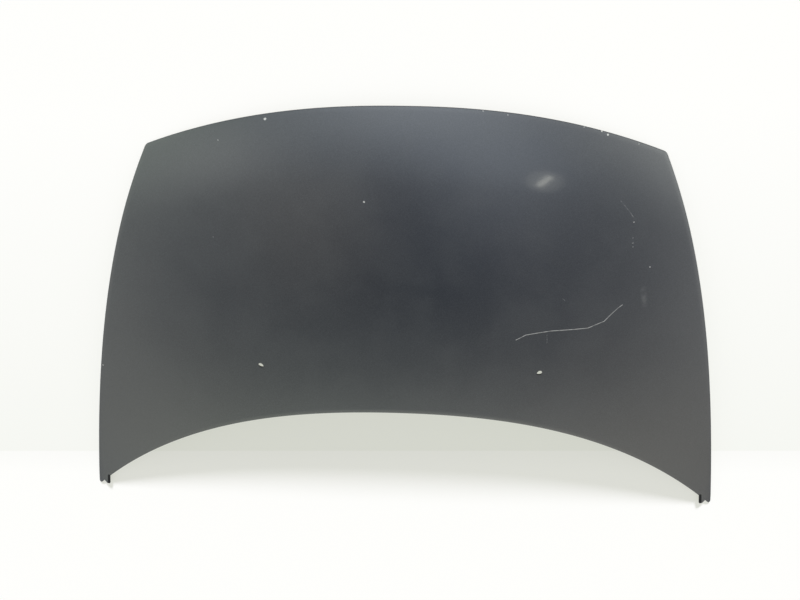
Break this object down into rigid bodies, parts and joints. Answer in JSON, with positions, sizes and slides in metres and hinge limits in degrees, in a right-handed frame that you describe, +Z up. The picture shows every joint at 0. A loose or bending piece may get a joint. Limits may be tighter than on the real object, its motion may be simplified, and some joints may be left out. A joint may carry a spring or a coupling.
{
  "type": "car bonnet",
  "caption": "Shallow domed sheet-metal engine cover for a small car: curved front edge, hollowed rear edge, notched rear corners, ribbed frame beneath.",
  "frame": {"origin": "centre of the bounding box at its base, level with the lowest of the four corners that the bonnet lies on", "axes": "+X across the bonnet to the picture's right, +Y from the hinge edge to the front edge, +Z up out of the painted side"},
  "size_m": [1.4068, 0.8748, 0.1043],
  "materials": {
    "paint": "dark grey car paint, glossy, lightly worn",
    "paint_inner": "dark grey body colour without full gloss",
    "zinc": "zinc plated, dull",
    "rubber": "matt black",
    "plastic": "matt black moulded plastic",
    "mastic": "dull grey sealing mastic"
  },
  "bodies": {
    "root": {"front_buffer_left": "rubber", "front_buffer_right": "rubber", "hinge_nut_left_front": "zinc", "hinge_nut_left_rear": "zinc", "hinge_nut_right_front": "zinc", "hinge_nut_right_rear": "zinc", "hinge_reinforcement_left": "zinc", "hinge_reinforcement_right": "zinc", "hose_clip_left": "plastic", "hose_clip_right": "plastic", "inner_frame": "paint_inner", "mastic_centre_front": "mastic", "mastic_centre_left": "mastic", "mastic_centre_rear_left": "mastic", "mastic_centre_rear_right": "mastic", "mastic_centre_right": "mastic", "mastic_middle_front_left": "mastic", "mastic_middle_front_right": "mastic", "mastic_middle_rear_left": "mastic", "mastic_middle_rear_right": "mastic", "mastic_outer_left": "mastic", "mastic_outer_right": "mastic", "outer_skin": "paint", "plug_front_left": "rubber", "plug_front_right": "rubber", "plug_rear_left": "rubber", "plug_rear_right": "rubber", "prop_rod_socket": "plastic", "rear_seal": "rubber", "side_buffer_left": "rubber", "side_buffer_right": "rubber", "striker_bolt_left": "zinc", "striker_bolt_right": "zinc", "striker_loop": "zinc", "striker_nut_left": "zinc", "striker_nut_right": "zinc", "striker_plate": "zinc", "striker_reinforcement": "zinc"}
  },
  "joints": []
}
